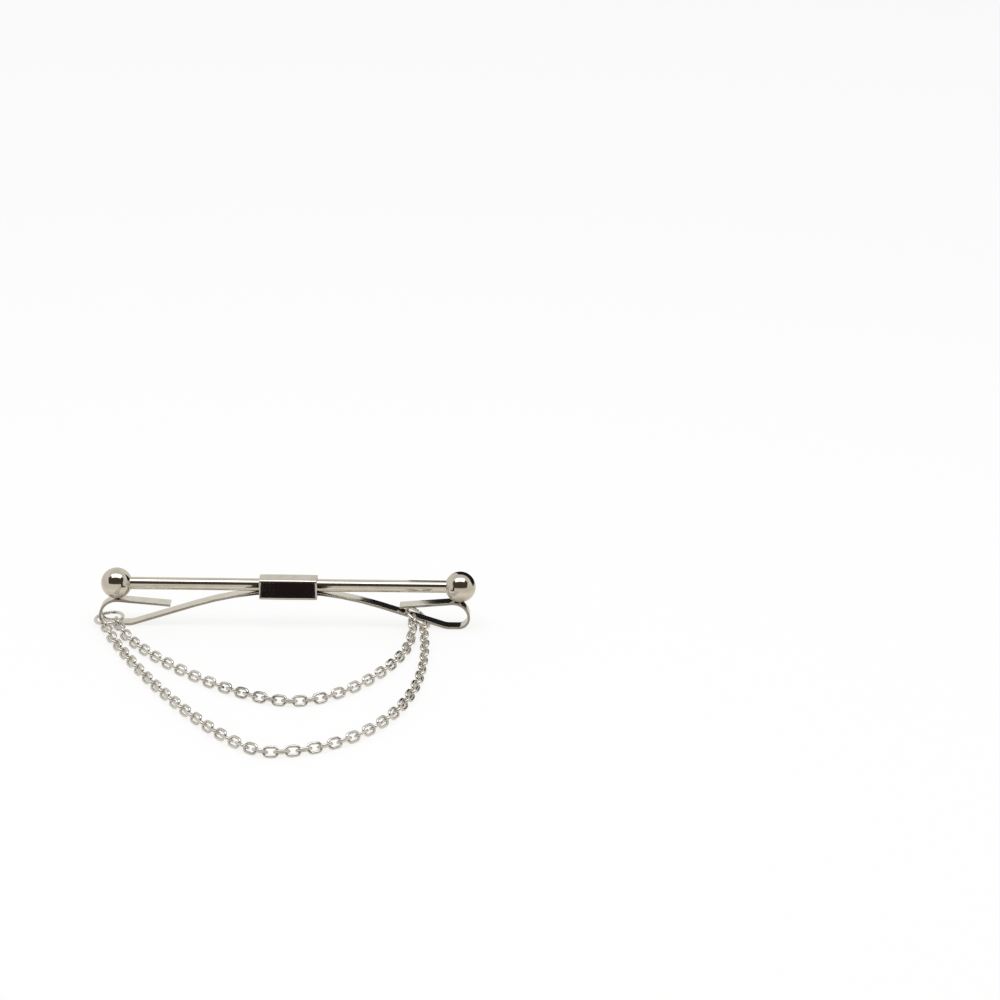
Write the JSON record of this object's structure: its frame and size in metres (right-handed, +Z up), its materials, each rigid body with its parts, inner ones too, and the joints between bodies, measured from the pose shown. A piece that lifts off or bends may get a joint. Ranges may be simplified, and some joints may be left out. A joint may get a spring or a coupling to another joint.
{
  "type": "collar bar",
  "caption": "Straight round bar with ball ends, crimped at its middle to a bowed flat spring with hooked ends, and draped chains hung from jump rings.",
  "frame": {"origin": "on the surface that the bar stands on, under the middle of the whole object's box", "axes": "+X along the rod to the right seen from the chains' side, +Y from the chains to the bar, +Z up"},
  "size_m": [0.0618, 0.0494, 0.0096],
  "materials": {
    "polished_bar": "polished nickel plate",
    "rolled_sleeve": "polished nickel plate on rolled sheet",
    "spring_strip": "polished nickel plate on spring strip",
    "ring_wire": "bright plated round wire",
    "chain_wire": "bright plated chain wire"
  },
  "bodies": {
    "bar": {"bar_rod": "polished_bar", "left_ball": "polished_bar", "right_ball": "polished_bar", "sleeve": "rolled_sleeve", "spring_centre": "spring_strip"},
    "left_arm": {"left_spring_arm": "spring_strip"},
    "right_arm": {"right_spring_arm": "spring_strip"},
    "left_ring": {"left_ring": "ring_wire"},
    "right_ring": {"right_ring": "ring_wire"},
    "short_left_lead": {"short_left_lead": "chain_wire"},
    "short_right_lead": {"short_right_lead": "chain_wire"},
    "long_left_lead": {"long_left_lead": "chain_wire"},
    "long_right_lead": {"long_right_lead": "chain_wire"},
    "short_run": {"short_left_run": "chain_wire", "short_right_run": "chain_wire"},
    "short_middle": {"short_middle": "chain_wire"},
    "long_upper": {"long_left_upper": "chain_wire", "long_right_upper": "chain_wire"},
    "long_lower": {"long_left_lower": "chain_wire", "long_right_lower": "chain_wire"},
    "long_middle": {"long_middle": "chain_wire"}
  },
  "joints": [
    {"name": "left_arm_flex", "type": "hinge", "parent": "bar", "child": "left_arm", "pos_m": [-0.00383, 0.02218, 0.00588], "axis": [0, -1, 0], "range_deg": [0, 3], "stiffness_Nm_per_rad": 0.3, "springref_deg": -1.72},
    {"name": "right_arm_flex", "type": "hinge", "parent": "bar", "child": "right_arm", "pos_m": [0.00527, 0.02218, 0.00588], "axis": [0, 1, 0], "range_deg": [0, 3], "stiffness_Nm_per_rad": 0.3, "springref_deg": -1.72},
    {"name": "left_ring_turn", "type": "hinge", "parent": "left_arm", "child": "left_ring", "pos_m": [-0.02843, 0.02198, 0.00094], "axis": [-0.1045, 0, 0.9945], "continuous": true},
    {"name": "right_ring_turn", "type": "hinge", "parent": "right_arm", "child": "right_ring", "pos_m": [0.02162, 0.02198, 0.00169], "axis": [0.6157, 0, 0.788], "continuous": true},
    {"name": "short_left_lead_swing", "type": "hinge", "parent": "left_arm", "child": "short_left_lead", "pos_m": [-0.02701, 0.02028, 0.00109], "axis": [-0.901, -0.3804, -0.2088], "range_deg": [0, 16]},
    {"name": "short_right_lead_swing", "type": "hinge", "parent": "right_arm", "child": "short_right_lead", "pos_m": [0.02074, 0.02006, 0.00238], "axis": [-0.9567, -0.0833, 0.2788], "range_deg": [0, 12]},
    {"name": "long_left_lead_swing", "type": "hinge", "parent": "left_arm", "child": "long_left_lead", "pos_m": [-0.029, 0.01983, 0.00088], "axis": [-0.9144, -0.3546, -0.1953], "range_deg": [0, 18]},
    {"name": "long_right_lead_swing", "type": "hinge", "parent": "right_arm", "child": "long_right_lead", "pos_m": [0.0225, 0.02006, 0.00101], "axis": [-0.9576, -0.0871, 0.2748], "range_deg": [0, 14]},
    {"name": "short_chain_lift", "type": "hinge", "parent": "bar", "child": "short_run", "pos_m": [-0.02532, 0.01639, 0.0009], "axis": [-0.9999, 0.0097, -0.0098], "range_deg": [0, 35]},
    {"name": "short_chain_fold", "type": "hinge", "parent": "short_run", "child": "short_middle", "pos_m": [-0.01422, 0.00274, 0.0008], "axis": [-0.9949, 0.1011, 0], "range_deg": [0, 25]},
    {"name": "long_chain_lift", "type": "hinge", "parent": "bar", "child": "long_upper", "pos_m": [-0.02742, 0.01578, 0.00084], "axis": [-1, 0.0012, 0.0001], "range_deg": [0, 40]},
    {"name": "long_chain_bend", "type": "hinge", "parent": "long_upper", "child": "long_lower", "pos_m": [-0.02007, 0.00112, 0.0008], "axis": [-0.9991, 0.0417, 0], "range_deg": [0, 25]},
    {"name": "long_chain_fold", "type": "hinge", "parent": "long_lower", "child": "long_middle", "pos_m": [-0.01211, -0.01139, 0.0008], "axis": [-0.9945, 0.1046, 0], "range_deg": [0, 20]}
  ],
  "couplings": [
    {"joint": "short_left_lead_swing", "follows": "left_arm_flex", "ratio": 5.1489},
    {"joint": "short_right_lead_swing", "follows": "right_arm_flex", "ratio": 3.7131},
    {"joint": "long_left_lead_swing", "follows": "left_arm_flex", "ratio": 5.5171},
    {"joint": "long_right_lead_swing", "follows": "right_arm_flex", "ratio": 4.1933}
  ]
}
